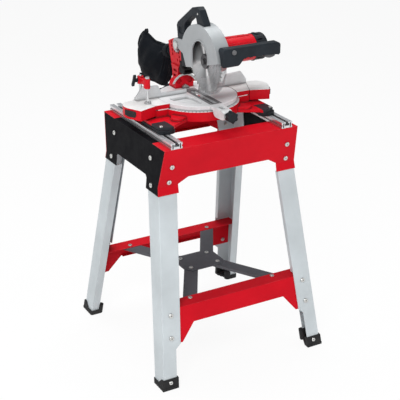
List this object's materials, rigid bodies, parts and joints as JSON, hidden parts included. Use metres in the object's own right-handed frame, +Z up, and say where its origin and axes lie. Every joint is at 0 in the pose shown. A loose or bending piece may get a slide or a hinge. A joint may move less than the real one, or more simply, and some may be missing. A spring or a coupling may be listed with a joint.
{
  "type": "mitre saw on stand",
  "caption": "Mitre saw with clear lower guard, dust bag, fences and hold-down clamp, bolted to a sheet-metal stand with splayed legs and rubber feet.",
  "frame": {"origin": "on the floor, under the middle of the whole outline", "axes": "+X to the operator's right, towards the motor; +Y away from the operator, towards the dust bag; +Z up"},
  "size_m": [0.6272, 0.716, 1.1708],
  "materials": {
    "red_sheet": "gloss red powder coat on pressed steel",
    "leg_sheet": "pale silver powder coat on pressed steel",
    "black_sheet": "black powder coat on pressed steel",
    "dark_sheet": "dark grey powder coat on pressed steel",
    "rail_alloy": "anodised extrusion",
    "red_cast": "die casting, red paint on its outer faces",
    "table_alloy": "turned die casting, fine machining marks",
    "grey_cast": "die casting, satin grey paint",
    "black_plastic": "moulded, fine leather grain",
    "grey_plastic": "moulded, satin",
    "insert_plastic": "moulded, satin, scuffed",
    "clear_guard": "clear smoke-tinted polycarbonate",
    "rubber": "matt moulded rubber",
    "steel": "ground steel",
    "zinc": "bright zinc plate",
    "bag_cloth": "woven filter cloth",
    "copper": "lacquered windings on laminated iron"
  },
  "bodies": {
    "stand": {"leg_bl": "leg_sheet", "leg_br": "leg_sheet", "leg_fl": "leg_sheet", "leg_fr": "leg_sheet", "foot_bl": "rubber", "foot_br": "rubber", "foot_fl": "rubber", "foot_fr": "rubber", "front_apron": "red_sheet", "rear_apron": "red_sheet", "left_panel": "black_sheet", "right_panel": "black_sheet", "front_strut": "red_sheet", "rear_strut": "red_sheet", "brace_hub": "dark_sheet", "brace_arms": "dark_sheet", "rail_left": "rail_alloy", "rail_right": "rail_alloy", "frame_bolts": "zinc", "saw_base": "red_cast", "base_feet": "black_plastic", "fence_left": "table_alloy", "fence_right": "table_alloy", "saw_bolts": "zinc", "clamp_post": "steel"},
    "extension_right": {"support_right": "red_cast"},
    "extension_left": {"support_left": "red_cast"},
    "clamp": {"clamp_arm": "red_cast"},
    "clamp_screw": {"clamp_spindle": "steel"},
    "clamp_wing": {"clamp_lock": "black_plastic"},
    "table": {"turntable": "table_alloy", "table_insert": "insert_plastic", "bevel_bracket": "red_cast", "bevel_scale": "steel", "bevel_pin": "zinc", "table_screws": "zinc"},
    "knob": {"mitre_knob": "black_plastic"},
    "bevel_lever": {"bevel_lock": "black_plastic"},
    "column": {"arm": "red_cast", "bag_collar": "black_plastic", "dust_chute": "rubber", "dust_bag": "bag_cloth"},
    "head": {"upper_guard": "grey_cast", "chip_deflector": "black_plastic", "carry_handle": "black_plastic", "motor_housing": "red_cast", "motor_cap": "black_plastic", "grip": "black_plastic", "stator": "copper", "bearings": "steel", "chop_pin": "zinc", "head_screws": "zinc"},
    "saw_blade": {"blade": "steel", "arbor_set": "zinc", "spindle": "steel"},
    "rotor": {"armature": "steel"},
    "guard_drum": {"lower_guard": "clear_guard"},
    "switch_lever": {"trigger": "grey_plastic"},
    "switch_lock": {"lock_button": "grey_plastic"}
  },
  "joints": [
    {"name": "extension_right_slide", "type": "slide", "parent": "stand", "child": "extension_right", "axis": [1, 0, 0], "range_m": [0, 0.07]},
    {"name": "extension_left_slide", "type": "slide", "parent": "stand", "child": "extension_left", "axis": [-1, 0, 0], "range_m": [0, 0.07]},
    {"name": "clamp_feed", "type": "slide", "parent": "stand", "child": "clamp", "axis": [0, 0, -1], "range_m": [-0.015, 0]},
    {"name": "clamp_turn", "type": "hinge", "parent": "clamp", "child": "clamp_screw", "pos_m": [-0.187, -0.02868, 0.937], "axis": [0, 0, 1], "continuous": true},
    {"name": "clamp_wing_turn", "type": "hinge", "parent": "clamp", "child": "clamp_wing", "pos_m": [-0.205, 0.02232, 0.937], "axis": [1, 0, 0], "range_deg": [-80, 80]},
    {"name": "mitre", "type": "hinge", "parent": "stand", "child": "table", "pos_m": [0, -0.01868, 0.871], "axis": [0, 0, -1], "range_deg": [-45, 45]},
    {"name": "mitre_lock", "type": "hinge", "parent": "table", "child": "knob", "pos_m": [0, -0.22368, 0.857], "axis": [0, 1, 0], "continuous": true},
    {"name": "bevel_clamp", "type": "hinge", "parent": "table", "child": "bevel_lever", "pos_m": [0, 0.12432, 0.871], "axis": [0, 1, 0], "range_deg": [-40, 30]},
    {"name": "bevel", "type": "hinge", "parent": "table", "child": "column", "pos_m": [0, 0.06632, 0.871], "axis": [0, -1, 0], "range_deg": [0, 45]},
    {"name": "chop", "type": "hinge", "parent": "column", "child": "head", "pos_m": [0, 0.07832, 1.018], "axis": [-1, 0, 0], "range_deg": [-13, 22], "stiffness_Nm_per_rad": 20, "springref_deg": 20.05},
    {"name": "blade_spin", "type": "hinge", "parent": "head", "child": "saw_blade", "pos_m": [0, -0.07668, 0.997], "axis": [1, 0, 0], "continuous": true},
    {"name": "rotor_spin", "type": "hinge", "parent": "head", "child": "rotor", "pos_m": [0.11, -0.03674, 1.00998], "axis": [1, 0, 0], "continuous": true},
    {"name": "guard_swing", "type": "hinge", "parent": "head", "child": "guard_drum", "pos_m": [0, -0.07668, 0.997], "axis": [1, 0, 0], "range_deg": [-76, 126]},
    {"name": "switch_pull", "type": "slide", "parent": "head", "child": "switch_lever", "axis": [0, 0, 1], "range_m": [0, 0.005], "stiffness_N_per_m": 600, "springref_m": -0.001},
    {"name": "switch_lock_push", "type": "slide", "parent": "head", "child": "switch_lock", "axis": [0, 1, 0], "range_m": [0, 0.004], "stiffness_N_per_m": 400, "springref_m": -0.001}
  ],
  "couplings": [
    {"joint": "rotor_spin", "follows": "blade_spin", "ratio": -4.6},
    {"joint": "guard_swing", "follows": "chop", "ratio": 5.6}
  ]
}
